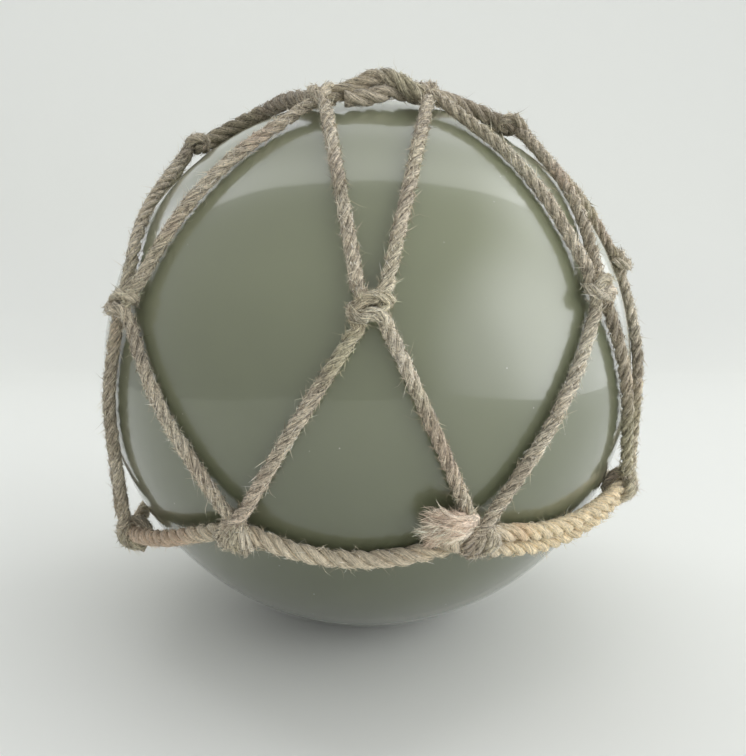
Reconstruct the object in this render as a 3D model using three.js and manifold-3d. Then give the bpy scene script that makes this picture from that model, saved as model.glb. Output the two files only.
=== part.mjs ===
// A glass float ball in its rope net. The ball is one closed body of thick glass. The net is a
// crown ring and a girdle ring of rope, joined by eight meshes of knotted cord.
// Millimetres, +Z up. The origin is the middle of the small flat spot that the ball stands on,
// and the front faces -Y.
import * as THREE from 'three';
import { mergeVertices } from 'three/addons/utils/BufferGeometryUtils.js';
import Module from 'manifold-3d';

// ---- driving dimensions ----
const ballRadius = 150; // a twelve inch float
const flatSpotRadius = 20;
const meshCord = 6.2; // diameter of the cord that the meshes are tied from
const girdleRope = 8;
const crownRope = 8.6;
const gap = 0.3; // between pieces that touch
const room = 0.5; // left round a rope where a knot is tied about it
const nap = 0.8; // the fuzz of the mesh cord holds it this far off the glass
const seamTolerance = 0.1; // between the two ends of a ring's surface

const centreHeight = Math.sqrt(ballRadius ** 2 - flatSpotRadius ** 2);
const ballCentre = new THREE.Vector3(0, 0, centreHeight);
const meshSeat = ballRadius + nap + meshCord / 2; // from the ball's centre to the cord's own
const girdleSeat = ballRadius + gap + girdleRope / 2;
const crownSeat = ballRadius + gap + crownRope / 2;

// The knots, round the ball from the front's left: degrees round from the front towards +X,
// degrees up from the equator, and how far the rope stands off the glass there.
const crownHitches = [
  [-80.5, 52.4, 1.5], [-19.3, 64.6, 1], [28.8, 67.7, 1], [74, 58.7, 1.5],
  [113, 60.5, 1], [154, 62, 1], [197, 60, 1], [238, 56, 1],
];
// The crown between its hitches, where it lies nearer the top of the ball.
const crownSpans = [
  [-75, 69, 0.5], [5, 67.5, 0.5], [62, 69.5, 0.5], [93.5, 62, 0.5],
  [133, 64, 0], [176, 63.5, 0], [218, 61, 0], [259, 58.5, 0.5],
];
const meshKnots = [
  [-48.7, 16.2, 1], [0.8, 17, 1], [46.1, 19, 1], [86, 23, 1],
  [131, 21, 1], [177, 19, 1], [222, 18, 1], [259, 15, 1],
];
const girdleHitches = [
  [-63.7, -30.5, 8], [-22.8, -20, 1], [19.1, -20.3, 1], [64.3, -20.4, 4],
  [110, -24, 1], [156, -25, 1], [202, -27, 1], [248, -30, 3],
];
// The girdle between its hitches, where it sags below them.
const girdleSags = [
  [-42, -25.8, 3], [-2.5, -24.5, 0], [40, -22.8, 1], [87, -25, 2],
  [133, -27, 0], [179, -28, 0], [225, -30, 0], [273, -32.5, 4],
];
// A second turn of the girdle, laid under the first between two of its hitches.
const secondTurn = [[24.5, -23.8, 1], [32, -25.2, 1], [40, -26, 1], [49, -25, 2.5], [58, -23.5, 4.5]];

// Where the cords leave a knot, across it and up or down from its middle.
const meshShoulder = { across: 5.3, above: 8.2, below: 7.8 };
const hitchShoulder = { across: 5.2, along: 11 };

// The crown ring's own join, and the girdle's cut end, teased out into a tuft.
const crownJoin = { place: [10, 67, 1], halfLength: 12 };
const looseEnd = { place: [12, -18.2], length: 20, width: 15, standOff: 6 };

// How finely the pieces are faceted.
const ballSegments = 28;
const girdleSteps = 36;
const crownSteps = 32;
const ropeSides = 6;
const cordSides = 5;
const cordSteps = 5;
const knotSides = 5;
const knotSteps = 4;

// ---- materials ----
const glass = { color: 0x7b8468, roughness: 0.08, metalness: 0 };
const agedCord = { color: 0xa2957e, roughness: 0.95, metalness: 0 };
const paleRope = { color: 0xc9b795, roughness: 0.95, metalness: 0 };
const darkHemp = { color: 0x978a74, roughness: 0.95, metalness: 0 };

// ---- cutting and joining ----
const wasm = await Module();
wasm.setup();

function merged(geometry) {
  geometry.deleteAttribute('normal');
  geometry.deleteAttribute('uv');
  return mergeVertices(geometry, 1e-3);
}

function toSolid(geometry) {
  const vertProperties = new Float32Array(geometry.attributes.position.array);
  const triVerts = new Uint32Array(geometry.index.array);
  return new wasm.Manifold(new wasm.Mesh({ numProp: 3, vertProperties, triVerts }));
}

function toGeometry(solid) {
  const mesh = solid.getMesh();
  const geometry = new THREE.BufferGeometry();
  geometry.setAttribute('position', new THREE.BufferAttribute(mesh.vertProperties, 3));
  geometry.setIndex(new THREE.BufferAttribute(mesh.triVerts, 1));
  return geometry;
}

function join(solids) {
  return solids.reduce((sum, solid) => sum.add(solid));
}

function cut(solid, tools) {
  return tools.reduce((rest, tool) => rest.subtract(tool), solid);
}

// The main body, without the crumbs that a cut leaves.
function mainBody(solid) {
  const bodies = solid.decompose();
  return bodies.reduce((best, body) => (body.volume() > best.volume() ? body : best));
}

// ---- places on the ball ----
function placeOnBall([around, up], radius) {
  const a = THREE.MathUtils.degToRad(around);
  const e = THREE.MathUtils.degToRad(up);
  const out = new THREE.Vector3(Math.sin(a) * Math.cos(e), -Math.cos(a) * Math.cos(e), Math.sin(e));
  const right = new THREE.Vector3(Math.cos(a), Math.sin(a), 0);
  const upward = new THREE.Vector3().crossVectors(out, right);
  return { out, right, upward, middle: ballCentre.clone().addScaledVector(out, radius) };
}

// A point near a knot: x to the right, y up the ball and z outwards, from the knot's middle.
function near(place, [x, y, z]) {
  return place.middle.clone()
    .addScaledVector(place.right, x)
    .addScaledVector(place.upward, y)
    .addScaledVector(place.out, z);
}

function atDistance(point, distance) {
  return point.clone().sub(ballCentre).setLength(distance).add(ballCentre);
}

function distanceOut(point) {
  return point.distanceTo(ballCentre);
}

// ---- ropes ----
function roundSection(diameter, sides) {
  const corner = (i) => {
    const angle = (i * 2 * Math.PI) / sides;
    return new THREE.Vector2(Math.cos(angle), Math.sin(angle)).multiplyScalar(diameter / 2);
  };
  return new THREE.Shape(Array.from({ length: sides }, (_, i) => corner(i)));
}

function ropeAlong(points, diameter, steps, sides) {
  const extrudePath = new THREE.CatmullRomCurve3(points);
  const options = { steps, extrudePath, bevelEnabled: false };
  return merged(new THREE.ExtrudeGeometry(roundSection(diameter, sides), options));
}

// A rope whose ends meet has no end faces, and its last section is moved onto its first.
function ropeRing(points, diameter, steps) {
  const extrudePath = new THREE.CatmullRomCurve3(points, true);
  const options = { steps, extrudePath, bevelEnabled: false };
  const whole = new THREE.ExtrudeGeometry(roundSection(diameter, ropeSides), options);
  const sides = whole.groups.find((group) => group.materialIndex === 1);
  const start = extrudePath.getPoint(0);
  const seam = [];
  const corners = [];
  for (let i = sides.start; i < sides.start + sides.count; i += 1) {
    const corner = new THREE.Vector3().fromBufferAttribute(whole.attributes.position, i);
    if (corner.distanceTo(start) < diameter) {
      const met = seam.find((other) => other.distanceTo(corner) < seamTolerance);
      corners.push(met ?? corner);
      seam.push(corner);
    } else {
      corners.push(corner);
    }
  }
  return mergeVertices(new THREE.BufferGeometry().setFromPoints(corners), 1e-3);
}

// A ring's route through its places, never closer to the ball than its seat.
function ringRoute(places, seat, steps) {
  const through = places.map((place) => placeOnBall(place, seat + place[2]).middle);
  const route = new THREE.CatmullRomCurve3(through, true).getPoints(steps).slice(0, -1);
  return route.map((point) => atDistance(point, Math.max(seat, distanceOut(point))));
}

// A taut cord between two points: straight where it is off the glass, and round the ball where
// it lies on it.
function tautRoute(from, to) {
  const start = from.clone().sub(ballCentre);
  const end = to.clone().sub(ballCentre);
  const turn = start.angleTo(end);
  const axis = new THREE.Vector3().crossVectors(start, end).normalize();
  const leaves = Math.acos(Math.min(1, meshSeat / start.length()));
  const lands = Math.acos(Math.min(1, meshSeat / end.length()));
  const points = [];
  for (let i = 0; i <= cordSteps; i += 1) {
    const angle = (turn * i) / cordSteps;
    const afterStart = meshSeat / Math.cos(Math.max(0, leaves - angle));
    const beforeEnd = meshSeat / Math.cos(Math.max(0, lands - (turn - angle)));
    const point = start.clone().applyAxisAngle(axis, angle);
    points.push(point.setLength(Math.max(afterStart, beforeEnd)).add(ballCentre));
  }
  return points;
}

// The same route with both ends a little longer.
function lengthened(points, extra) {
  const last = points.length - 1;
  const before = points[0].clone().sub(points[1]).setLength(extra).add(points[0]);
  const after = points[last].clone().sub(points[last - 1]).setLength(extra).add(points[last]);
  return [before, ...points.slice(1, last), after];
}

// ---- the pieces ----
const nettedFloat = new THREE.Group();

function addPiece(name, geometry, look) {
  const mesh = new THREE.Mesh(geometry, new THREE.MeshStandardMaterial(look));
  mesh.name = name;
  nettedFloat.add(mesh);
}

// The ball, turned from its profile: the flat spot, then the round side up to the top.
function ballGeometry(radius) {
  const rings = ballSegments / 2;
  const flatEdge = Math.asin(-centreHeight / radius);
  const profile = [new THREE.Vector2(0, -centreHeight)];
  for (let i = 0; i < rings; i += 1) {
    const angle = THREE.MathUtils.lerp(flatEdge, Math.PI / 2, i / rings);
    profile.push(new THREE.Vector2(radius * Math.cos(angle), radius * Math.sin(angle)));
  }
  profile.push(new THREE.Vector2(0, radius));
  const ball = new THREE.LatheGeometry(profile, ballSegments);
  ball.rotateX(Math.PI / 2);
  ball.translate(0, 0, centreHeight);
  return merged(ball);
}

// The crown's join is an overhand knot: two parts of the rope climb over each other.
function crownJoinSolid(diameter) {
  const place = placeOnBall(crownJoin.place, crownSeat + crownJoin.place[2]);
  const half = crownJoin.halfLength;
  const over = [[-half, -1, 0], [-half / 2, -3, 4], [0, 2, 6.5], [half / 2, 4, 3], [half, 1, 0]];
  const under = [[-half, 2, 0], [-half / 2, 4, 2], [0, -2, 4.5], [half / 2, -3, 5], [half, -1, 0]];
  return join([over, under].map((route) => {
    const points = route.map((step) => near(place, step));
    return toSolid(ropeAlong(points, diameter, knotSteps, knotSides));
  }));
}

// The tuft is widest near its cut end, which points away from the hitch.
function tuftSolid() {
  const { place, length, width, standOff } = looseEnd;
  const spot = placeOnBall(place, ballRadius + standOff);
  const profile = [[0, -0.5], [0.55, -0.48], [1, -0.2], [0.9, 0.15], [0.5, 0.42], [0, 0.5]]
    .map(([out, along]) => new THREE.Vector2((out * width) / 2, along * length));
  const tuft = merged(new THREE.LatheGeometry(profile, 2 * knotSides));
  const frame = new THREE.Matrix4().makeBasis(spot.upward.clone().negate(), spot.right, spot.out);
  tuft.applyMatrix4(frame.setPosition(spot.middle));
  return toSolid(tuft);
}

// A mesh knot is a bight of the upper cords, held by a bight of the lower ones drawn over it.
const meshKnotRoutes = [
  [[-5.3, 8.2, 0], [-4, 1.2, 0.4], [0, -3.8, 1.2], [4, 1.2, 0.4], [5.3, 8.2, 0]],
  [[-5.3, -7.8, 0], [-6, -1.4, 3.2], [0.4, 3.6, 5], [6.6, -0.6, 3.2], [5.3, -7.8, 0]],
];

// A hitch's cord crosses the other one, goes over the ring and turns in under it. The routes are
// for cords that come from above, and the crown's are turned over.
function hitchRoute(side, ringRope) {
  const over = (ringRope + meshCord) / 2 - 0.6;
  const { across, along } = hitchShoulder;
  return [
    [side * across, along, 0], [side * 0.6, 5.4, 3 + side],
    [-side * 3.8, -1.8, over], [-side * 3.7, -over - 0.6, -0.5],
  ];
}

function turnedOver(route) {
  return route.map(([x, y, z]) => [x, -y, z]);
}

function knotSolid(place, routes, obstacles) {
  const cords = routes.map((route) => {
    const points = route.map((step) => near(place, step));
    return toSolid(ropeAlong(points, meshCord, points.length - 1, knotSides));
  });
  return mainBody(cut(join(cords), obstacles));
}

// The end of a cord, at the shoulder of a knot.
function shoulder(place, across, up) {
  return atDistance(near(place, [across, up, 0]), distanceOut(place.middle));
}

function cordBetween(from, to) {
  const route = tautRoute(from, to);
  const cord = ropeAlong(route, meshCord, cordSteps, cordSides);
  const space = ropeAlong(lengthened(route, gap), meshCord + 2 * room, cordSteps, cordSides);
  return { cord, space: toSolid(space) };
}

const ball = ballGeometry(ballRadius);
const ballRoom = toSolid(ballGeometry(ballRadius + gap));

const crownStops = crownHitches.flatMap((hitch, i) => [hitch, crownSpans[i]]);
const girdleStops = girdleHitches.flatMap((hitch, i) => [hitch, girdleSags[i]]);
const crownRoute = ringRoute(crownStops, crownSeat, crownSteps);
const girdleRoute = ringRoute(girdleStops, girdleSeat, girdleSteps);
const secondRoute = secondTurn.map((place) => placeOnBall(place, girdleSeat + place[2]).middle);

const crownRing = mainBody(cut(
  toSolid(ropeRing(crownRoute, crownRope, crownSteps)).add(crownJoinSolid(crownRope)),
  [ballRoom],
));
const girdleExtras = toSolid(ropeAlong(secondRoute, girdleRope, knotSteps, ropeSides)).add(tuftSolid());
const girdleRing = mainBody(cut(
  toSolid(ropeRing(girdleRoute, girdleRope, girdleSteps)).add(girdleExtras),
  [ballRoom],
));
const crownRoom = toSolid(ropeRing(crownRoute, crownRope + 2 * room, crownSteps))
  .add(crownJoinSolid(crownRope + 2 * room));
const girdleRoom = toSolid(ropeRing(girdleRoute, girdleRope + 2 * room, girdleSteps));

const crownPlaces = crownHitches.map((place) => placeOnBall(place, crownSeat + place[2]));
const knotPlaces = meshKnots.map((place) => placeOnBall(place, meshSeat + place[2]));
const hitchPlaces = girdleHitches.map((place) => placeOnBall(place, girdleSeat + place[2]));

// Each mesh knot has two cords up to the crown and two down to the girdle, one to each side.
const count = knotPlaces.length;
const rooms = { crown: [], knot: [], girdle: [] };
for (const list of Object.values(rooms)) {
  list.push(...Array.from({ length: count }, () => []));
}

addPiece('glass_ball', ball, glass);
addPiece('crown_ring', toGeometry(crownRing), darkHemp);
addPiece('girdle_ring', toGeometry(girdleRing), paleRope);

knotPlaces.forEach((knot, i) => {
  for (const [side, sideName, far] of [[-1, 'left', i], [1, 'right', (i + 1) % count]]) {
    const top = shoulder(crownPlaces[far], -side * hitchShoulder.across, -hitchShoulder.along);
    const bottom = shoulder(hitchPlaces[far], -side * hitchShoulder.across, hitchShoulder.along);
    const fromTop = shoulder(knot, side * meshShoulder.across, meshShoulder.above);
    const fromBottom = shoulder(knot, side * meshShoulder.across, -meshShoulder.below);
    const upper = cordBetween(top, fromTop);
    const lower = cordBetween(fromBottom, bottom);
    rooms.crown[far].push(upper.space);
    rooms.knot[i].push(upper.space, lower.space);
    rooms.girdle[far].push(lower.space);
    addPiece(`upper_cord_${i + 1}_${sideName}`, upper.cord, agedCord);
    addPiece(`lower_cord_${i + 1}_${sideName}`, lower.cord, agedCord);
  }
});

for (let i = 0; i < count; i += 1) {
  const crownRoutes = [-1, 1].map((side) => turnedOver(hitchRoute(side, crownRope)));
  const girdleRoutes = [-1, 1].map((side) => hitchRoute(side, girdleRope));
  const crownHitch = knotSolid(crownPlaces[i], crownRoutes, [ballRoom, crownRoom, ...rooms.crown[i]]);
  const meshKnot = knotSolid(knotPlaces[i], meshKnotRoutes, [ballRoom, ...rooms.knot[i]]);
  const girdleTools = [ballRoom, girdleRoom, ...rooms.girdle[i]];
  const girdleHitch = knotSolid(hitchPlaces[i], girdleRoutes, girdleTools);
  addPiece(`crown_hitch_${i + 1}`, toGeometry(crownHitch), agedCord);
  addPiece(`mesh_knot_${i + 1}`, toGeometry(meshKnot), agedCord);
  addPiece(`girdle_hitch_${i + 1}`, toGeometry(girdleHitch), agedCord);
}

export default nettedFloat;
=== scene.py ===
"""A glass fishing float in its rope net, on a pale studio floor.

The ball is a blown shell of thick, hazy green glass. The net is laid from three-strand hemp:
a crown ring, a girdle ring with a second turn and a teased-out end, and eight meshes of fuzzy
netting cord between them, tied in netting knots and hitched to the rings. Metres, +Z up.
"""
import math

import bpy
import numpy as np
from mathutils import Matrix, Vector


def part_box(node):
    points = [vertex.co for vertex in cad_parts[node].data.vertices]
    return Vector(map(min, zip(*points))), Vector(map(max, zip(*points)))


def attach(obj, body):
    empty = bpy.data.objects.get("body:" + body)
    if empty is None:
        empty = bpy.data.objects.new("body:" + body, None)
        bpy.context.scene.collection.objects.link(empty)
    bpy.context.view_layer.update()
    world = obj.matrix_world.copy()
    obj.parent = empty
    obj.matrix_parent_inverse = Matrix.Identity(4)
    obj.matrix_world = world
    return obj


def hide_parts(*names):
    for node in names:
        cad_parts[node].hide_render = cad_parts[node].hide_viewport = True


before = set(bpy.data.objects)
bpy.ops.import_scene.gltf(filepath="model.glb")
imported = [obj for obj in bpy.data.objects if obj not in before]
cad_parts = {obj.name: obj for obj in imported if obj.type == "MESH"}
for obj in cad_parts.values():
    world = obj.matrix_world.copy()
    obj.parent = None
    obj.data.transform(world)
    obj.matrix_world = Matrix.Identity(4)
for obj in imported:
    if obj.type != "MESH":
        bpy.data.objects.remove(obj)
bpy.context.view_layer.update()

MM = 0.001

# ---- the float's own sizes, the ball's from model.glb ----
FLAT_SPOT = 20 * MM
ball_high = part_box("glass_ball")[1]
BALL = (ball_high.z**2 + FLAT_SPOT**2) / (2 * ball_high.z)
CENTRE = np.array([0.0, 0.0, ball_high.z - BALL])
WALL = 4.7 * MM

MESH_CORD = 6.2 * MM
GIRDLE_ROPE = 8.0 * MM
CROWN_ROPE = 8.6 * MM
NAP = 0.8 * MM
GAP = 0.3 * MM
GLASS_CLEARANCE = 0.12 * MM
MESH_SEAT = BALL + NAP + MESH_CORD / 2
GIRDLE_SEAT = BALL + GAP + GIRDLE_ROPE / 2
CROWN_SEAT = BALL + GAP + CROWN_ROPE / 2

# How far each rope runs in one full turn of its strands.
MESH_LAY = 25 * MM
GIRDLE_LAY = 24 * MM
CROWN_LAY = 28 * MM
# A strand's middle and radius, as shares of the rope's diameter.
STRAND_OUT = 0.255
STRAND_RADIUS = 0.262

# The knots, round the ball from the front's left: degrees round from the front towards +X,
# degrees up from the equator, and millimetres that the rope stands off the glass there.
CROWN_HITCHES = [
    (-80.5, 52.4, 1.5), (-19.3, 64.6, 1), (28.8, 67.7, 1), (74, 58.7, 1.5),
    (113, 60.5, 1), (154, 62, 1), (197, 60, 1), (238, 56, 1),
]
MESH_KNOTS = [
    (-48.7, 16.2, 1), (0.8, 17, 1), (46.1, 19, 1), (86, 23, 1),
    (131, 21, 1), (177, 19, 1), (222, 18, 1), (259, 15, 1),
]
GIRDLE_HITCHES = [
    (-63.7, -30.5, 8), (-22.8, -20, 1), (19.1, -20.3, 1), (64.3, -20.4, 4),
    (110, -24, 1), (156, -25, 1), (202, -27, 1), (248, -30, 3),
]
# The girdle rope starts in the tuft, runs as the lower turn to the right, goes all round the
# back and comes over its own start as the upper turn.
GIRDLE_ROUTE = [
    (13, -19.4, 4), (16.5, -21.6, 2.5), (20.5, -23.2, 1.5), (25, -24.1, 1), (32, -25.3, 1),
    (40, -26, 1), (49, -25, 2.5), (57, -23.4, 4), (64, -22.4, 5), (72, -23.2, 4),
    (87, -25, 2), (98, -24.8, 1), (110, -24, 1), (122, -25.8, 0.5), (133, -27, 0),
    (145, -26.3, 0.5), (156, -25, 1), (168, -26.9, 0.5), (179, -28, 0), (191, -28, 0.5),
    (202, -27, 1), (214, -29, 0.5), (225, -30, 0), (237, -30.2, 1.5), (248, -30, 3),
    (260, -31.6, 3.5), (273, -32.5, 4), (285, -32.2, 6), (296.3, -30.5, 8), (307, -28.3, 6),
    (318, -25.8, 3), (328, -22.5, 1.5), (337.2, -20, 1), (347, -23, 0.5), (357.5, -24.5, 0),
    (367, -23.7, 0), (373.5, -22.1, 0.5), (379.1, -20.3, 1), (386, -20.9, 1), (393, -22.2, 1),
    (400, -22.8, 1), (408, -22.2, 2), (415.5, -21.3, 3), (423, -20.4, 4), (426.5, -19.2, 3.5),
]
# The crown rope ends beside its own start, where the two are knotted over each other.
CROWN_ROUTE = [
    (-10, 65, 0.8), (-2, 65.6, 0.6), (4, 66.4, 1.0), (9, 67.4, 2.6), (14, 67.9, 3), (20, 68, 1.5),
    (28.8, 67.7, 1), (44, 69.3, 0.6), (62, 69.5, 0.5), (72, 64.6, 0.8), (74, 58.7, 1.5),
    (81, 60.4, 0.8), (93.5, 62, 0.5), (113, 60.5, 1), (133, 64, 0), (154, 62, 1), (176, 63.5, 0),
    (197, 60, 1), (218, 61, 0), (238, 56, 1), (259, 58.5, 0.5), (272, 55.6, 1), (279.5, 52.4, 1.5),
    (277, 57.6, 1), (276, 63.5, 0.6), (285, 69, 0.5), (310, 69.6, 0.4), (328, 67.2, 0.6),
    (340.7, 64.6, 1), (348, 65.8, 3), (355, 67.4, 5), (361, 68.6, 7.5),
    (367, 68.8, 8.5), (373, 67.6, 8), (379, 66.2, 5), (385, 66.4, 2.5), (391, 67, 1.5),
]
TUFT = (14, -17.2, 0)
# Above this lift, a ring hangs free enough for a cord to pass right behind it.
FREE_LIFT = 3.5

# One seed for each thing with hand-made unevenness.
KNOT_SEED = 100
TUFT_SEED = 700
UPPER_SEED = 1000
LOWER_SEED = 2000
CROWN_SEED = 3000
GIRDLE_SEED = 4000

COUNT = len(MESH_KNOTS)


# ---- places on the ball ----
def directions(around, up):
    """Outward, rightward and upward at a place on the ball."""
    a, e = math.radians(around), math.radians(up)
    out = np.array([math.sin(a) * math.cos(e), -math.cos(a) * math.cos(e), math.sin(e)])
    right = np.array([math.cos(a), math.sin(a), 0.0])
    return out, right, np.cross(out, right)


def on_ball(around, up, radius):
    return CENTRE + radius * directions(around, up)[0]


class Place:
    """A knot's middle, with its own right, up and out."""

    def __init__(self, spot, seat):
        self.out, self.right, self.up = directions(spot[0], spot[1])
        self.middle = CENTRE + (seat + spot[2] * MM) * self.out
        self.lift = spot[2]

    def near(self, x, y, z):
        """A point so many millimetres right, up and out from the middle."""
        return self.middle + (x * self.right + y * self.up + z * self.out) * MM


def taut_route(start, end, seat, steps=14):
    """A taut cord: straight where it is off the glass, and round the ball where it lies on it."""
    a, b = start - CENTRE, end - CENTRE
    ra, rb = np.linalg.norm(a), np.linalg.norm(b)
    ua, ub = a / ra, b / rb
    turn = math.acos(np.clip(ua @ ub, -1, 1))
    leaves = math.acos(min(1, seat / ra))
    lands = math.acos(min(1, seat / rb))
    points = []
    for i in range(steps + 1):
        angle = turn * i / steps
        way = (math.sin(turn - angle) * ua + math.sin(angle) * ub) / math.sin(turn)
        after_start = seat / math.cos(max(0, leaves - angle))
        before_end = seat / math.cos(max(0, lands - (turn - angle)))
        points.append(CENTRE + way * max(after_start, before_end))
    return points


# ---- rope making ----
def smooth_route(points, girths, spacing):
    """A smooth line through given points, in even steps, with the rope's girth along it."""
    p = np.asarray(points, float)
    g = np.asarray(girths, float)
    ends = np.vstack([2 * p[0] - p[1], p, 2 * p[-1] - p[-2]])
    knots = np.concatenate([[0], np.cumsum(np.sqrt(np.linalg.norm(np.diff(ends, axis=0), axis=1)))])
    line, thick = [], []
    per_span = 14
    for i in range(1, len(ends) - 2):
        t0, t1, t2, t3 = knots[i - 1:i + 3]
        p0, p1, p2, p3 = ends[i - 1:i + 3]
        t = np.linspace(t1, t2, per_span, endpoint=False)[:, None]
        a1 = (t1 - t) / (t1 - t0) * p0 + (t - t0) / (t1 - t0) * p1
        a2 = (t2 - t) / (t2 - t1) * p1 + (t - t1) / (t2 - t1) * p2
        a3 = (t3 - t) / (t3 - t2) * p2 + (t - t2) / (t3 - t2) * p3
        b1 = (t2 - t) / (t2 - t0) * a1 + (t - t0) / (t2 - t0) * a2
        b2 = (t3 - t) / (t3 - t1) * a2 + (t - t1) / (t3 - t1) * a3
        line.append((t2 - t) / (t2 - t1) * b1 + (t - t1) / (t2 - t1) * b2)
        thick.append(np.linspace(g[i - 1], g[i], per_span, endpoint=False))
    line = np.vstack(line + [p[-1:]])
    thick = np.concatenate(thick + [g[-1:]])
    run = np.concatenate([[0], np.cumsum(np.linalg.norm(np.diff(line, axis=0), axis=1))])
    even = np.linspace(0, run[-1], max(4, int(run[-1] / spacing)))
    route = np.column_stack([np.interp(even, run, line[:, k]) for k in range(3)])
    return route, np.interp(even, run, thick), even


def travelling_frames(route):
    """Tangent, normal and binormal at each step, with no twist of their own."""
    tangent = np.gradient(route, axis=0)
    tangent /= np.linalg.norm(tangent, axis=1)[:, None]
    normal = np.zeros_like(route)
    first = np.cross(tangent[0], [0.3, 0.5, 0.81])
    normal[0] = first / np.linalg.norm(first)
    for i in range(1, len(route)):
        carried = normal[i - 1] - (normal[i - 1] @ tangent[i]) * tangent[i]
        normal[i] = carried / np.linalg.norm(carried)
    return tangent, normal, np.cross(tangent, normal)


def wander(rng, run, wavelength, octaves=2):
    """A smooth random line from about -1 to 1 along a run."""
    total = np.zeros_like(run)
    for octave in range(octaves):
        size = wavelength / 2**octave
        marks = rng.uniform(-1, 1, int(run[-1] / size) + 4)
        x = run / size + rng.uniform(0, 1)
        i = x.astype(int)
        f = x - i
        f = f * f * (3 - 2 * f)
        total += (marks[i] * (1 - f) + marks[i + 1] * f) / 2**octave
    return total / 1.5


class Bundle:
    """Faces gathered from many closed strands and fibres, made into one mesh at the end."""

    def __init__(self):
        self.points, self.dyes = [], []
        self.corners, self.sizes, self.uvs = [], [], []
        self.total = 0

    def add_points(self, points, dyes):
        """Adds points with a dye each, and says at which number they start."""
        first = self.total
        self.points.append(points.reshape(-1, 3))
        self.dyes.append(dyes.reshape(-1, 3))
        self.total += points.size // 3
        return first

    def add_faces(self, faces, uvs=None):
        """Adds faces that all have the same number of corners."""
        count, size = faces.shape
        self.corners.append(faces.ravel())
        self.sizes.append(np.full(count, size))
        self.uvs.append(np.zeros((count * size, 2)) if uvs is None else uvs.reshape(-1, 2))

    def add_tube(self, grid, u, v, dyes):
        """A round strand from rows of points round it, closed at both ends."""
        rows, columns = grid.shape[:2]
        first = self.add_points(grid, np.repeat(dyes, columns, axis=0))
        index = np.arange(rows * columns).reshape(rows, columns) + first
        after = np.roll(index, -1, axis=1)
        sides = np.stack([index[:-1], after[:-1], after[1:], index[1:]], axis=-1)
        along = np.stack([u[:-1], u[:-1], u[1:], u[1:]], axis=-1)
        step = v[1] - v[0]
        round_it = np.stack([v, v + step, v + step, v], axis=-1)
        span = (rows - 1, columns, 4)
        uvs = np.stack([
            np.broadcast_to(along[:, None, :], span),
            np.broadcast_to(round_it[None, :, :], span)], axis=-1)
        self.add_faces(sides.reshape(-1, 4), uvs)
        self.add_faces(index[0][::-1][None, :])
        self.add_faces(index[-1][None, :])

    def add_fibres(self, centres, radii, dyes):
        """Many thin three-sided fibres, closed at the root and drawn to a point at the tip."""
        fibres, steps = centres.shape[:2]
        along = unit(centres[:, -1] - centres[:, 0])
        side = unit(np.cross(along, [0.31, 0.52, 0.80]))
        other = np.cross(along, side)
        angles = np.arange(3) * 2 * math.pi / 3
        ring = (np.cos(angles)[None, :, None] * side[:, None, :]
                + np.sin(angles)[None, :, None] * other[:, None, :])
        taper = np.linspace(1, 0.5, steps - 1)[None, :, None, None]
        rows = centres[:, :-1, None, :] + ring[:, None] * radii[:, None, None, None] * taper
        first = self.add_points(rows, np.repeat(dyes[:, :-1].reshape(-1, 3), 3, axis=0))
        index = np.arange(fibres * (steps - 1) * 3).reshape(fibres, steps - 1, 3) + first
        tips = np.arange(fibres) + self.add_points(centres[:, -1], dyes[:, -1])
        after = np.roll(index, -1, axis=2)
        if steps > 2:
            sides = np.stack([index[:, :-1], after[:, :-1], after[:, 1:], index[:, 1:]], axis=-1)
            self.add_faces(sides.reshape(-1, 4))
        points = np.stack(
            [index[:, -1], after[:, -1], np.repeat(tips[:, None], 3, axis=1)], axis=-1)
        self.add_faces(points.reshape(-1, 3))
        self.add_faces(index[:, 0, ::-1].reshape(-1, 3))

    def make(self, name, material, smooth=True):
        sizes = np.concatenate(self.sizes)
        corners = np.concatenate(self.corners)
        points = np.vstack(self.points)
        mesh = bpy.data.meshes.new(name)
        mesh.vertices.add(len(points))
        mesh.vertices.foreach_set("co", points.astype(np.float32).ravel())
        mesh.loops.add(len(corners))
        mesh.loops.foreach_set("vertex_index", corners)
        mesh.polygons.add(len(sizes))
        mesh.polygons.foreach_set("loop_start", np.cumsum(sizes) - sizes)
        mesh.update(calc_edges=True)
        mesh.polygons.foreach_set("use_smooth", np.full(len(sizes), smooth))
        lay = mesh.uv_layers.new(name="lay")
        lay.data.foreach_set("uv", np.vstack(self.uvs).astype(np.float32).ravel())
        dye = mesh.attributes.new("dye", "FLOAT_COLOR", "POINT")
        colours = np.vstack(self.dyes)
        dye.data.foreach_set(
            "color", np.column_stack([colours, np.ones(len(colours))]).astype(np.float32).ravel())
        mesh.materials.append(material)
        piece = bpy.data.objects.new(name, mesh)
        bpy.context.scene.collection.objects.link(piece)
        return piece


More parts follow.
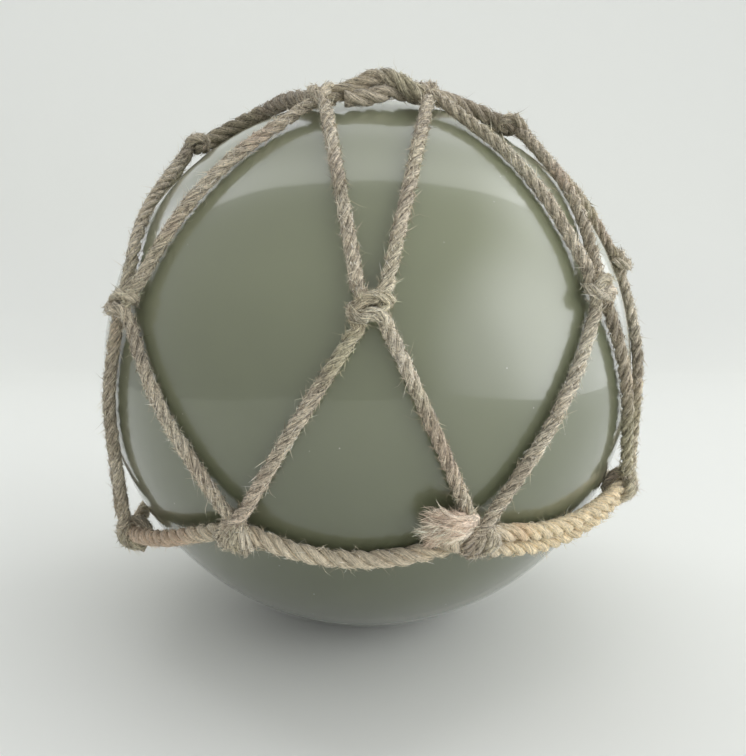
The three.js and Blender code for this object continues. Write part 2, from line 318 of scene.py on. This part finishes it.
class Rope:
    """A three-strand rope along a route, and what its fuzz needs to know."""

    def __init__(self, points, girths, diameter, lay, dyes, seed, step=1.7 * MM, sides=9):
        self.rng = np.random.default_rng(seed)
        self.diameter = diameter
        self.lay = lay
        self.sides = sides
        self.route, self.girth, self.run = smooth_route(points, girths, step)
        self.tangent, self.normal, self.binormal = travelling_frames(self.route)
        self.dye = dyes(self)

    def strands(self, bundle):
        """Lays the three strands round each other into the bundle."""
        rng, run = self.rng, self.run
        phase = rng.uniform(0, 2 * math.pi)
        turn = 2 * math.pi * run / self.lay + 0.5 * wander(rng, run, 0.05)
        strand_out = self.diameter * STRAND_OUT * self.girth
        strand_radius = self.diameter * STRAND_RADIUS * self.girth
        sides = np.arange(self.sides) * 2 * math.pi / self.sides
        for k in range(3):
            angle = phase + turn + 2 * math.pi * k / 3
            away = (np.cos(angle)[:, None] * self.normal + np.sin(angle)[:, None] * self.binormal)
            across = (np.cos(angle)[:, None] * self.binormal - np.sin(angle)[:, None] * self.normal)
            out = strand_out * (1 + 0.06 * wander(rng, run, 0.009))
            radius = strand_radius * (1 + 0.07 * wander(rng, run, 0.007))
            middle = self.route + out[:, None] * away
            lumps = 1 + 0.05 * rng.standard_normal((len(run), self.sides))
            grid = (middle[:, None, :]
                    + (radius[:, None] * lumps * np.cos(sides))[..., None] * away[:, None, :]
                    + (radius[:, None] * lumps * np.sin(sides) * 1.1)[..., None] * across[:, None, :])
            keep_off_glass(grid)
            v = (sides / (2 * math.pi) + k) * 2 * math.pi * self.diameter * STRAND_RADIUS
            tone = 1 + 0.10 * wander(rng, run, 0.02)[:, None]
            bundle.add_tube(grid, run, v, self.dye * tone)

    def surface(self, share, rng):
        """Random spots on the rope's surface: position, outward and along, and the dye there."""
        i = rng.integers(2, len(self.run) - 2, share)
        angle = rng.uniform(0, 2 * math.pi, share)
        out = (np.cos(angle)[:, None] * self.normal[i] + np.sin(angle)[:, None] * self.binormal[i])
        depth = rng.uniform(0.36, 0.5, share) * self.diameter * self.girth[i]
        return self.route[i] + depth[:, None] * out, out, self.tangent[i], self.dye[i]

    def length(self):
        return self.run[-1]


def keep_off_glass(points):
    """Moves points that would be inside the glass out to its surface."""
    away = points - CENTRE
    distance = np.linalg.norm(away, axis=-1, keepdims=True)
    lowest = BALL + GLASS_CLEARANCE
    points[...] = CENTRE + away * np.maximum(1, lowest / distance)


def unit(vectors):
    """The same directions at length one."""
    return vectors / np.maximum(np.linalg.norm(vectors, axis=-1, keepdims=True), 1e-9)


def fuzz(bundle, rope, per_metre, length, girth, rise, curl, seed, steps=2):
    """Loose fibres on a rope, painted darker at the root and lighter at the tip as painted shade and
    highlight: rise is how far they stand out, and curl how much they bend.
    """
    rng = np.random.default_rng(seed)
    share = int(per_metre * rope.length())
    spot, out, along, dye = rope.surface(share, rng)
    side = np.cross(out, along)
    sign = rng.choice([-1, 1], share)[:, None]
    way = unit(sign * along + rng.normal(0, 0.8, (share, 1)) * side
               + np.abs(rng.normal(rise, rise * 0.6, (share, 1))) * out)
    long = np.clip(rng.exponential(length * 0.4, share) + length * 0.5, 0, length * 2.6)
    piece = (long / (steps - 1))[:, None]
    bend = unit(rng.normal(0, 1, (share, 3)))
    centres = np.zeros((share, steps, 3))
    centres[:, 0] = spot
    for k in range(1, steps):
        centres[:, k] = centres[:, k - 1] + way * piece
        way = unit(way + curl * bend + rng.normal(0, curl * 0.5, (share, 3)))
    keep_off_glass(centres)
    radii = girth / 2 * rng.uniform(0.6, 1.4, share)
    tone = rng.choice([0.55, 0.85, 1.1, 1.4, 1.75], share, p=[0.16, 0.22, 0.26, 0.22, 0.14])
    # Painted shade and painted highlight: each fibre's colour darkens towards its root, where the rope
    # shades it, and lightens towards its free tip; the tone before this is random per fibre.
    tone = tone[:, None, None] * np.linspace(0.7, 1.25, steps)[None, :, None]
    bundle.add_fibres(centres, radii, np.clip(dye[:, None, :] * tone, 0, 0.9))


# ---- dyes: linear colours along a rope ----
def linear(r, g, b):
    """A linear colour from the usual 0 to 255."""
    c = np.array([r, g, b]) / 255
    return np.where(c <= 0.04045, c / 12.92, ((c + 0.055) / 1.055) ** 2.4)


def blend(a, b, t):
    return a * (1 - t[:, None]) + b * t[:, None]


def aged_dyes(rope):
    """Weathered netting cord: grey-beige, with pinkish, yellow-green and sooty stretches."""
    rng, run = rope.rng, rope.run
    colour = np.tile(linear(206, 194, 172), (len(run), 1))
    for other, share in ((linear(206, 182, 163), 0.5), (linear(182, 180, 142), 0.45),
                         (linear(238, 229, 208), 0.6), (linear(126, 113, 97), 0.5)):
        patch = np.clip(wander(rng, run, 0.03) * 1.6 - 0.25, 0, 1) * share
        colour = blend(colour, other, patch)
    return colour


def crown_dyes(rope):
    colour = aged_dyes(rope)
    return blend(colour, linear(150, 139, 120), np.full(len(colour), 0.3))


def girdle_dyes(rope):
    """Paler, newer rope: cream to yellow at the front right, pinkish at the front left."""
    rng, run, route = rope.rng, rope.run, rope.route
    around = np.degrees(np.arctan2(route[:, 0], -route[:, 1]))
    colour = blend(aged_dyes(rope), linear(226, 211, 182), np.full(len(run), 0.5))
    bright = smooth_band(around, 22, 66, 6)
    colour = blend(colour, linear(238, 219, 182), bright * 0.95)
    peach = np.clip(wander(rng, run, 0.02), 0, 1) * bright
    colour = blend(colour, linear(221, 184, 145), peach * 0.7)
    pink = smooth_band(around, -68, -30, 6)
    return blend(colour, linear(203, 177, 152), pink * 0.75)


def smooth_band(values, low, high, soft):
    rising = np.clip((values - low) / soft, 0, 1)
    falling = np.clip((high - values) / soft, 0, 1)
    return rising * falling


# ---- the net's cords ----
# Millimetres from a knot's middle: right, up and out, then the cord's girth, which is less
# where a knot is pulled tight.
BIGHT = [
    (-5.3, 8.2, 0, 1), (-4.4, 4.6, 0.5, 0.95), (-4.0, 0.8, 0.9, 0.88), (-3.0, -2.2, 1.3, 0.86),
    (0, -3.7, 1.8, 0.86), (3.1, -2.0, 2.0, 0.88), (4.1, 1.0, 1.8, 0.88), (4.6, 4.6, 0.8, 0.95),
    (5.3, 8.2, 0, 1),
]
NETTING_TURN = [
    (-5.3, -7.8, 0, 1), (-5.9, -4.4, 1.0, 0.95), (-5.6, -1.2, 3.2, 0.9), (-2.9, 2.0, 4.6, 0.92),
    (1.8, 3.2, 4.4, 0.92), (6.2, 3.2, 2.4, 0.88), (7.0, 2.4, -0.6, 0.7), (3.0, 1.6, -1.6, 0.55),
    (-3.0, 2.0, -1.6, 0.55), (-7.0, 1.6, -0.6, 0.7), (-8.2, -1.6, 1.8, 0.9),
    (-5.2, -4.6, 4.8, 0.92), (0.4, -2.6, 5.6, 0.92), (4.4, -3.6, 3.6, 0.95), (5.3, -7.8, 0, 1),
]


def hitch_wrap(side, ring_rope, lift):
    """A cord's way from its shoulder twice over the ring, from above the ring."""
    over = (ring_rope + MESH_CORD) / 2 / MM * 0.86 - 0.5
    first_turn = [
        (side * 5.2, 11, 0, 1), (side * 1.2, 7.4, 1.6 + 1.2 * side, 0.95),
        (-side * 3.8, 4.4, over - 1.6, 0.92), (-side * 6.2, 0.4, over - 0.2, 0.92),
        (-side * 6.2, -over + 0.6, 2.6, 0.9), (-side * 5.4, -over - 0.4, -1.0, 0.75),
    ]
    if lift > FREE_LIFT:
        return first_turn + [
            (-side * 4.2, -3.8, -over + 0.4, 0.9), (-side * 2.6, 1.2, -over, 0.9),
            (-side * 0.6, 5.4, -3.2, 0.9), (side * 1.4, 6.2, 1.4, 0.9),
            (side * 2.4, 3.0, over, 0.92), (side * 2.4, -1.6, over + 0.6, 0.92),
            (side * 2.0, -over - 1.2, 2.6, 0.9), (side * 2.8, -over - 4.4, 0.6, 0.8),
        ]
    return first_turn + [
        (-side * 3.2, -1.4, -2.6, 0.4), (-side * 0.8, 3.8, -2.0, 0.45),
        (side * 1.2, 6.2, 1.0, 0.8), (side * 2.4, 3.2, over - 0.2, 0.92),
        (side * 2.4, -1.6, over + 0.5, 0.94), (side * 1.9, -over - 1.0, 3.0, 0.94),
        (side * 2.6, -over - 4.4, 1.0, 0.85),
    ]


def crown_wrap(side, ring_rope, lift):
    """A cord's single turn over the crown rope, which lies close to the glass at any lift."""
    over = (ring_rope + MESH_CORD) / 2 / MM * 0.72 - 0.5
    return [
        (side * 5.2, 11, 0, 1), (side * 2.0, 7.0, 1.4 + 0.8 * side, 0.95),
        (-side * 2.6, 3.2, over - 0.8, 0.9), (-side * 4.0, -1.4, over, 0.9),
        (-side * 4.2, -over + 0.4, 2.4, 0.85), (-side * 3.8, -over - 0.4, -0.6, 0.75),
        (-side * 3.0, -3.0, -2.4, 0.45), (-side * 2.2, 0.0, -2.8, 0.3),
    ]


def knot_points(place, steps, rng, turned=1):
    """Knot steps as places and girths, with the small unevenness of hand work."""
    points, girths = [], []
    for x, y, z, girth in steps:
        jitter = rng.normal(0, 0.35, 3) * MM
        points.append(place.near(x, y * turned, z) + jitter)
        girths.append(girth)
    return points, girths


def knotted_route(parts):
    """Knots and the taut cords between them, as one list of points and girths."""
    points, girths = [], []
    for part, girth in parts:
        points += list(part)
        girths += list(girth)
    return points, girths


def cord_between(start, end):
    inner = taut_route(start, end, MESH_SEAT)[1:-1]
    return inner, [1.0] * len(inner)


def net_cords():
    """The upper and lower cord of each mesh knot, hitch to hitch."""
    crown = [Place(spot, CROWN_SEAT) for spot in CROWN_HITCHES]
    knots = [Place(spot, MESH_SEAT) for spot in MESH_KNOTS]
    girdle = [Place(spot, GIRDLE_SEAT) for spot in GIRDLE_HITCHES]
    uppers, lowers = [], []
    for i, knot in enumerate(knots):
        rng = np.random.default_rng(KNOT_SEED + i)
        right = (i + 1) % COUNT
        uppers.append(one_cord(rng, crown[i], knot, crown[right], BIGHT, crown_wrap, CROWN_ROPE))
        lowers.append(
            one_cord(rng, girdle[i], knot, girdle[right], NETTING_TURN, hitch_wrap, GIRDLE_ROPE))
    return uppers, lowers


def one_cord(rng, left, knot, right, knot_steps, wrap, ring_rope):
    """Wrapped on the left ring hitch, along to the knot, and away to the right hitch."""
    turned = -1 if wrap is crown_wrap else 1
    from_left = wrap(1, ring_rope, left.lift)[::-1]
    to_right = wrap(-1, ring_rope, right.lift)
    start = knot_points(left, from_left, rng, turned)
    middle = knot_points(knot, knot_steps, rng)
    end = knot_points(right, to_right, rng, turned)
    return knotted_route([
        start,
        cord_between(start[0][-1], middle[0][0]),
        middle,
        cord_between(middle[0][-1], end[0][0]),
        end,
    ])


# ---- materials ----
def node(tree, kind, **settings):
    made = tree.nodes.new(kind)
    for key, value in settings.items():
        setattr(made, key, value)
    return made


def noise(tree, vector, scale, detail):
    """Cloudy noise, as its 0 to 1 output."""
    made = node(tree, "ShaderNodeTexNoise")
    made.inputs["Scale"].default_value = scale
    made.inputs["Detail"].default_value = detail
    tree.links.new(vector, made.inputs["Vector"])
    return made


def ramp(tree, value, start, end, low=0, high=1, smooth=False):
    """Goes from low to high as the value goes from start to end."""
    kind = "SMOOTHSTEP" if smooth else "LINEAR"
    made = node(tree, "ShaderNodeMapRange", interpolation_type=kind)
    for name, number in (("From Min", start), ("From Max", end), ("To Min", low), ("To Max", high)):
        made.inputs[name].default_value = number
    tree.links.new(value, made.inputs["Value"])
    return made.outputs["Result"]


def mixed(tree, factor, first, second):
    """A mix of two colours; the first may also be another node's output."""
    made = node(tree, "ShaderNodeMix", data_type="RGBA")
    tree.links.new(factor, made.inputs["Factor"])
    if isinstance(first, np.ndarray):
        made.inputs["A"].default_value = (*first, 1)
    else:
        tree.links.new(first, made.inputs["A"])
    made.inputs["B"].default_value = (*second, 1)
    return made.outputs["Result"]


def shader(name):
    material = bpy.data.materials.new(name)
    material.use_nodes = True
    tree = material.node_tree
    return material, tree, tree.nodes["Principled BSDF"]


def hemp_shade(tree, fibre, place, fibre_contrast, fleck):
    """How light the hemp is at each spot: its fibres' streaks, darkened by flecks of soot."""
    streaks = ramp(tree, fibre, 0.36, 0.64, 1 - fibre_contrast, 1 + fibre_contrast * 0.6)
    specks = noise(tree, place, 900, 3)
    soot = ramp(tree, specks.outputs["Fac"], 0.28, 0.48, 1 - fleck, 1)
    shade = node(tree, "ShaderNodeMath", operation="MULTIPLY")
    tree.links.new(streaks, shade.inputs[0])
    tree.links.new(soot, shade.inputs[1])
    return shade.outputs["Value"]


def hemp_material(name, fibre_contrast, fleck):
    """Twisted hemp: fine fibres along each strand, dark flecks and a dry, slightly furry face."""
    material, tree, surface = shader(name)
    link = tree.links.new
    lay = node(tree, "ShaderNodeUVMap", uv_map="lay")
    turned = node(tree, "ShaderNodeMapping")
    turned.inputs["Rotation"].default_value[2] = math.radians(28)
    turned.inputs["Scale"].default_value = (220, 1300, 1)
    link(lay.outputs["UV"], turned.inputs["Vector"])
    fibre = noise(tree, turned.outputs["Vector"], 1, 4)
    fibre.inputs["Roughness"].default_value = 0.65
    place = node(tree, "ShaderNodeTexCoord").outputs["Object"]
    dye = node(tree, "ShaderNodeAttribute", attribute_name="dye")
    coloured = node(tree, "ShaderNodeVectorMath", operation="SCALE")
    link(dye.outputs["Color"], coloured.inputs[0])
    link(hemp_shade(tree, fibre.outputs["Fac"], place, fibre_contrast, fleck),
         coloured.inputs["Scale"])
    link(coloured.outputs["Vector"], surface.inputs["Base Color"])
    bump = node(tree, "ShaderNodeBump")
    bump.inputs["Strength"].default_value = 0.9
    bump.inputs["Distance"].default_value = 0.35 * MM
    link(fibre.outputs["Fac"], bump.inputs["Height"])
    link(bump.outputs["Normal"], surface.inputs["Normal"])
    surface.inputs["Roughness"].default_value = 0.92
    surface.inputs["Specular IOR Level"].default_value = 0.25
    surface.inputs["Sheen Weight"].default_value = 0.25
    surface.inputs["Sheen Roughness"].default_value = 0.5
    return material


def fibre_material(name):
    """Single loose fibres, coloured by the rope that they come from, with the painted shade at their
    roots and painted highlight at their tips that fuzz puts into their colour.
    """
    material, tree, surface = shader(name)
    dye = node(tree, "ShaderNodeAttribute", attribute_name="dye")
    tree.links.new(dye.outputs["Color"], surface.inputs["Base Color"])
    surface.inputs["Roughness"].default_value = 0.8
    surface.inputs["Specular IOR Level"].default_value = 0.3
    return material


def glass_painted_shade_and_dust(tree, place):
    """Painted shade and painted light: darker green low down and paler above, a little uneven, with
    specks of dust.
    """
    cloud = noise(tree, place, 9, 3)
    height = node(tree, "ShaderNodeSeparateXYZ")
    tree.links.new(place, height.inputs[0])
    uneven = node(tree, "ShaderNodeMath", operation="MULTIPLY_ADD")
    tree.links.new(cloud.outputs["Fac"], uneven.inputs[0])
    uneven.inputs[1].default_value = 90 * MM
    tree.links.new(height.outputs["Z"], uneven.inputs[2])
    # Painted shade low down and painted light above: the colour goes from dark to pale green by height.
    depth = ramp(tree, uneven.outputs["Value"], 70 * MM, 270 * MM)
    painted_shade_tint = mixed(tree, depth, linear(94, 101, 72), linear(174, 179, 147))
    dust = node(tree, "ShaderNodeTexVoronoi")
    dust.inputs["Scale"].default_value = 95
    tree.links.new(place, dust.inputs["Vector"])
    speck = ramp(tree, dust.outputs["Distance"], 0.045, 0.02)
    return mixed(tree, speck, painted_shade_tint, linear(222, 222, 212))


def glass_material():
    """Old bottle glass: hazy in its depth, with a bright polished face."""
    material, tree, surface = shader("sea_green_glass")
    place = node(tree, "ShaderNodeTexCoord").outputs["Object"]
    # The base colour carries painted shade low down and painted light above, with dust specks.
    tree.links.new(glass_painted_shade_and_dust(tree, place), surface.inputs["Base Color"])
    surface.inputs["Transmission Weight"].default_value = 0.55
    surface.inputs["Roughness"].default_value = 0.28
    surface.inputs["IOR"].default_value = 1.5
    surface.inputs["Coat Weight"].default_value = 1
    surface.inputs["Coat Roughness"].default_value = 0.03
    surface.inputs["Coat IOR"].default_value = 1.5
    return material


def floor_material():
    material, _, surface = shader("studio_floor")
    surface.inputs["Base Color"].default_value = (*linear(240, 241, 236), 1)
    surface.inputs["Roughness"].default_value = 0.6
    surface.inputs["Specular IOR Level"].default_value = 0.2
    return material


# ---- the ball ----
def start_fresh():
    if bpy.context.object and bpy.context.object.mode != "OBJECT":
        bpy.ops.object.mode_set(mode="OBJECT")
    bpy.ops.object.select_all(action="DESELECT")


def blown_sphere(name, radius, segments, ring_count):
    """A sphere on the ball's centre, with its place applied."""
    start_fresh()
    bpy.ops.mesh.primitive_uv_sphere_add(
        segments=segments, ring_count=ring_count, radius=radius, location=Vector(CENTRE))
    sphere = bpy.context.object
    sphere.name = name
    sphere.data.name = name
    bpy.ops.object.transform_apply(location=True, rotation=True, scale=True)
    return sphere


def ripple(sphere, width, depth):
    """Shallow waves left by blowing."""
    waves = bpy.data.textures.new(sphere.name + "_waves", "CLOUDS")
    waves.noise_scale = width
    waves.noise_depth = 1
    start_fresh()
    bpy.context.view_layer.objects.active = sphere
    sphere.select_set(True)
    waved = sphere.modifiers.new("waves", "DISPLACE")
    waved.texture = waves
    waved.texture_coords = "LOCAL"
    waved.mid_level = 0.5
    waved.strength = depth
    bpy.ops.object.modifier_apply(modifier=waved.name)


def cut_flat(sphere, height):
    """Cuts a sphere off level and closes the cut."""
    start_fresh()
    bpy.context.view_layer.objects.active = sphere
    sphere.select_set(True)
    bpy.ops.object.mode_set(mode="EDIT")
    bpy.ops.mesh.select_all(action="SELECT")
    bpy.ops.mesh.bisect(plane_co=(0, 0, height), plane_no=(0, 0, -1), use_fill=True, clear_outer=True)
    bpy.ops.object.mode_set(mode="OBJECT")


def blow_ball():
    outside = blown_sphere("glass_shell", BALL, 192, 128)
    ripple(outside, 60 * MM, 0.5 * MM)
    cut_flat(outside, 0)
    inside = blown_sphere("glass_inside", BALL - WALL, 96, 64)
    inside.data.flip_normals()
    start_fresh()
    inside.select_set(True)
    outside.select_set(True)
    bpy.context.view_layer.objects.active = outside
    bpy.ops.object.join()
    bpy.ops.object.shade_smooth()
    outside.data.materials.clear()
    outside.data.materials.append(glass_material())
    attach(outside, "root")
    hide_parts("glass_ball")


# ---- the net ----
def nodes_named(*starts):
    return sorted(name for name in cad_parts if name.startswith(starts))


def add_to_net(piece, slot, *replaced):
    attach(piece, "root")
    if replaced:
        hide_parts(*replaced)


def lay_cords(name, routes, seed, replaced):
    """The netting cords of one half of the net, with a short nap and longer loose hairs."""
    cords, fibres = Bundle(), Bundle()
    for i, (points, girths) in enumerate(routes):
        rope = Rope(points, girths, MESH_CORD, MESH_LAY, aged_dyes, seed + i, 2.1 * MM, 7)
        rope.strands(cords)
        fuzz(fibres, rope, 7600, 2.8 * MM, 0.44 * MM, 0.42, 0, seed + 50 + i)
        fuzz(fibres, rope, 1600, 4.4 * MM, 0.22 * MM, 1.0, 0.5, seed + 90 + i, steps=3)
    add_to_net(cords.make(name, HEMP["aged"]), "mesh_cord", *replaced)
    add_to_net(fibres.make(name + "_fuzz", HEMP["fibre"], smooth=False), "mesh_cord")


def lay_ring(name, places, seat, diameter, lay, dyes, material, seed, slot, replaced, nap):
    """A ring rope along its places; nap is how many short fibres stand on each metre of it."""
    strands, fibres = Bundle(), Bundle()
    points = [on_ball(a, e, seat + lift * MM) for a, e, lift in places]
    rope = Rope(points, [1.0] * len(points), diameter, lay, dyes, seed)
    rope.strands(strands)
    fuzz(fibres, rope, nap, 2.6 * MM, 0.4 * MM, 0.36, 0, seed + 1)
    fuzz(fibres, rope, 1800, 4.2 * MM, 0.2 * MM, 1.0, 0.5, seed + 2, steps=3)
    add_to_net(strands.make(name, material), slot, *replaced)
    add_to_net(fibres.make(name + "_fuzz", HEMP["fibre"], smooth=False), slot)


def tuft_dyes(rng, rows):
    """Clean combed fibre: cream, with a pinkish heart."""
    cream = np.tile(linear(246, 234, 214), (rows, 1))
    return blend(cream, linear(228, 200, 178), np.full(rows, rng.uniform(0, 0.8)))


def tuft_lock(rng, place, along):
    """One curved lock, thinner towards its tip: its middle line, girth and length in millimetres."""
    turn = rng.uniform(-1, 1)
    reach = rng.uniform(18, 25) * (1 - 0.2 * abs(turn))
    stand = rng.uniform(1, 7)
    x = 12 - reach * along
    y = 9.5 * turn * along ** 0.8 + 0.9 * np.sin(along * 6 + rng.uniform(0, 6))
    z = 0.5 + stand * np.sin(along * 2.3)
    centre = np.array([place.near(*spot) for spot in zip(x, y, z)])
    girth = rng.uniform(1.2, 1.9) * (1 - 0.72 * along ** 2) * MM
    return centre, girth, reach


def tuft_fibres(rng, centre, dyes, fibres, share=110, steps=4):
    """Loose curling fibres that leave a lock towards its tip."""
    spot = centre[rng.integers(1, len(centre), share)] + rng.normal(0, 0.9 * MM, (share, 3))
    way = unit(centre[-1] - centre[3] + rng.normal(0, 4.5 * MM, (share, 3)))
    bend = unit(rng.normal(0, 1, (share, 3)))
    centres = np.zeros((share, steps, 3))
    centres[:, 0] = spot
    for k in range(1, steps):
        centres[:, k] = centres[:, k - 1] + way * rng.uniform(1.2, 2.6, (share, 1)) * MM
        way = unit(way + 0.35 * bend)
    keep_off_glass(centres)
    tone = rng.choice([0.65, 0.95, 1.15], (share, 1, 1))
    fibre_dyes = np.clip(dyes[:steps][None] * tone, 0, 0.92)
    fibres.add_fibres(centres, rng.uniform(0.1, 0.2, share) * MM, fibre_dyes)


def tie_tuft():
    """The girdle rope's cut end: tapering locks and loose fibres that fan to the left."""
    rng = np.random.default_rng(TUFT_SEED)
    locks, fibres = Bundle(), Bundle()
    lock_count, lock_sides, lock_steps = 26, 7, 12
    place = Place(TUFT, GIRDLE_SEAT)
    along = np.linspace(0, 1, lock_steps)
    angles = np.arange(lock_sides) * 2 * math.pi / lock_sides
    round_it = np.cos(angles)[:, None] * place.up - np.sin(angles)[:, None] * place.out
    for _ in range(lock_count):
        centre, girth, reach = tuft_lock(rng, place, along)
        grid = centre[:, None, :] + girth[:, None, None] * round_it[None]
        keep_off_glass(grid)
        dyes = tuft_dyes(rng, lock_steps)
        locks.add_tube(grid, along * reach * MM, angles * 1.6 * MM, dyes)
        tuft_fibres(rng, centre, dyes, fibres)
    add_to_net(locks.make("girdle_rope_tuft", HEMP["pale"]), "girdle_rope")
    add_to_net(fibres.make("girdle_rope_tuft_fuzz", HEMP["fibre"], smooth=False), "girdle_rope")


def tie_net():
    uppers, lowers = net_cords()
    lay_cords("upper_netting", uppers, UPPER_SEED, nodes_named("upper_cord", "crown_hitch"))
    lay_cords("lower_netting", lowers, LOWER_SEED,
              nodes_named("lower_cord", "girdle_hitch", "mesh_knot"))
    lay_ring("crown_rope_ring", CROWN_ROUTE, CROWN_SEAT, CROWN_ROPE, CROWN_LAY, crown_dyes,
             HEMP["aged"], CROWN_SEED, "crown_rope", ["crown_ring"], nap=11000)
    lay_ring("girdle_rope_ring", GIRDLE_ROUTE, GIRDLE_SEAT, GIRDLE_ROPE, GIRDLE_LAY, girdle_dyes,
             HEMP["pale"], GIRDLE_SEED, "girdle_rope", ["girdle_ring"], nap=5200)


# ---- the studio ----
def lay_floor():
    """A wide sheet of pale paper that curves up into a wall behind the float."""
    front, back, half_width, curve, wall = 1.6, 0.8, 1.0, 0.3, 1.0
    start_fresh()
    bpy.ops.mesh.primitive_plane_add(size=2, location=(0, 0, 0))
    floor = bpy.context.object
    floor.name = "studio_floor"
    bpy.ops.object.mode_set(mode="EDIT")
    bpy.ops.transform.resize(value=(half_width, (front + back) / 2, 1))
    bpy.ops.transform.translate(value=(0, (back - front) / 2, 0))
    bpy.ops.mesh.select_all(action="DESELECT")
    bpy.ops.mesh.select_mode(type="EDGE")
    bpy.ops.object.mode_set(mode="OBJECT")
    for edge in floor.data.edges:
        edge.select = all(floor.data.vertices[v].co.y > 0 for v in edge.vertices)
    bpy.ops.object.mode_set(mode="EDIT")
    steps = 16
    angles = [math.pi / 2 * i / steps for i in range(steps + 1)]
    for here, there in zip(angles, angles[1:]):
        forth = curve * (math.sin(there) - math.sin(here))
        rise = curve * (math.cos(here) - math.cos(there))
        bpy.ops.mesh.extrude_region_move(TRANSFORM_OT_translate={"value": (0, forth, rise)})
    bpy.ops.mesh.extrude_region_move(TRANSFORM_OT_translate={"value": (0, 0, wall)})
    bpy.ops.mesh.select_all(action="SELECT")
    bpy.ops.mesh.normals_make_consistent(inside=False)
    bpy.ops.mesh.select_mode(type="VERT")
    bpy.ops.object.mode_set(mode="OBJECT")
    bpy.ops.object.shade_smooth()
    floor.data.materials.append(floor_material())


def heading(around, up):
    """A direction from the float: degrees round from straight behind towards +X, and degrees up."""
    a, e = math.radians(around), math.radians(up)
    return Vector((math.sin(a) * math.cos(e), math.cos(a) * math.cos(e), math.sin(e)))


class Room:
    """The light all round: one dim tone, and soft-edged bright panels by direction."""

    def __init__(self, tone):
        world = bpy.data.worlds.new("studio")
        bpy.context.scene.world = world
        world.use_nodes = True
        self.tree = world.node_tree
        self.way = node(self.tree, "ShaderNodeTexCoord").outputs["Generated"]
        self.tone = self.constant(tone)

    def constant(self, value):
        made = node(self.tree, "ShaderNodeValue")
        made.outputs[0].default_value = value
        return made.outputs[0]

    def math(self, operation, a, b):
        made = node(self.tree, "ShaderNodeMath", operation=operation)
        for socket, value in zip(made.inputs, (a, b)):
            if isinstance(value, (int, float)):
                socket.default_value = value
            else:
                self.tree.links.new(value, socket)
        return made.outputs[0]

    def side(self, normal, low, high):
        """Rises from 0 to 1 as the direction's reach along normal goes from low to high."""
        reach = node(self.tree, "ShaderNodeVectorMath", operation="DOT_PRODUCT")
        self.tree.links.new(self.way, reach.inputs[0])
        reach.inputs[1].default_value = normal
        return ramp(self.tree, reach.outputs["Value"], low, high, smooth=True)

    def add(self, shape, strength):
        self.tone = self.math("ADD", self.tone, self.math("MULTIPLY", shape, strength))

    def panel(self, corners, softness, strength):
        """A panel with straight edges between its corners, listed in order round it."""
        ways = [heading(*corner) for corner in corners]
        middle = sum(ways, Vector())
        shape = 1.0
        for a, b, soft in zip(ways, ways[1:] + ways[:1], softness):
            normal = a.cross(b).normalized()
            if normal.dot(middle) < 0:
                normal.negate()
            shape = self.math("MULTIPLY", shape, self.side(normal, -soft, soft))
        self.add(shape, strength)

    def glow(self, around, up, radius, strength):
        """A round glow that fades out from its middle."""
        edge = math.cos(math.radians(radius))
        self.add(self.side(heading(around, up), edge, 1), strength)

    def light(self, colour):
        paint = self.tree.nodes["Background"]
        paint.inputs["Color"].default_value = (*colour, 1)
        self.tree.links.new(self.tone, paint.inputs["Strength"])


def overhead_sheet(room):
    """A diffuser over the float, brightest along its crisp front edge, which bows back at the sides."""
    parts = node(room.tree, "ShaderNodeSeparateXYZ")
    room.tree.links.new(room.way, parts.inputs[0])
    x, y, z = parts.outputs
    away = room.math("SQRT", room.math("ADD", room.math("POWER", x, 2), room.math("POWER", z, 2)), 0)
    behind = room.math("ADD", y, room.math("MULTIPLY", z, 1.14))
    past = room.math("SUBTRACT", behind, room.math("MULTIPLY", away, 1.06))
    edge = ramp(room.tree, past, -0.015, 0.03, smooth=True)
    fade = ramp(room.tree, past, 0, 0.5, 1, 0.12, smooth=True)
    above = room.side(Vector((0, 0, 1)), -0.1, 0.25)
    shape = room.math("MULTIPLY", edge, fade)
    room.add(room.math("MULTIPLY", shape, above), 1.5)


def light_studio():
    """Even room light, a wall behind, the sheet overhead and a soft window at the right."""
    room = Room(0.55)
    room.panel([(-34, 60), (44, 60), (44, -30), (-34, -30)], (0.3, 0.15, 0.2, 0.1), 0.5)
    overhead_sheet(room)
    room.panel([(60, 50), (130, 25), (112, -20), (50, -25)], (0.25, 0.2, 0.3, 0.25), 1.5)
    room.glow(118, 8, 42, 1.6)
    room.light((0.97, 0.985, 1.0))


def set_camera():
    """Three ball radii from the ball's middle and a little above it."""
    distance, elevation = 3.0 * BALL, math.radians(9)
    focal, sensor = 35.49, 36.0
    back = Vector((0, -math.cos(elevation), math.sin(elevation)))
    data = bpy.data.cameras.new("camera")
    data.sensor_width = sensor
    data.lens = focal
    data.shift_x = 0.0073
    data.shift_y = -0.0205
    data.clip_start = 0.01
    camera = bpy.data.objects.new("camera", data)
    camera.location = Vector(CENTRE) + back * distance
    camera.rotation_euler = (-back).to_track_quat("-Z", "Y").to_euler()
    bpy.context.scene.collection.objects.link(camera)
    bpy.context.scene.camera = camera


bpy.context.scene.view_settings.view_transform = "Standard"

HEMP = {
    "aged": hemp_material("aged_hemp", 0.72, 0.6),
    "pale": hemp_material("pale_hemp", 0.5, 0.35),
    "fibre": fibre_material("hemp_fibre"),
}

set_camera()
lay_floor()
light_studio()
blow_ball()
tie_net()
tie_tuft()
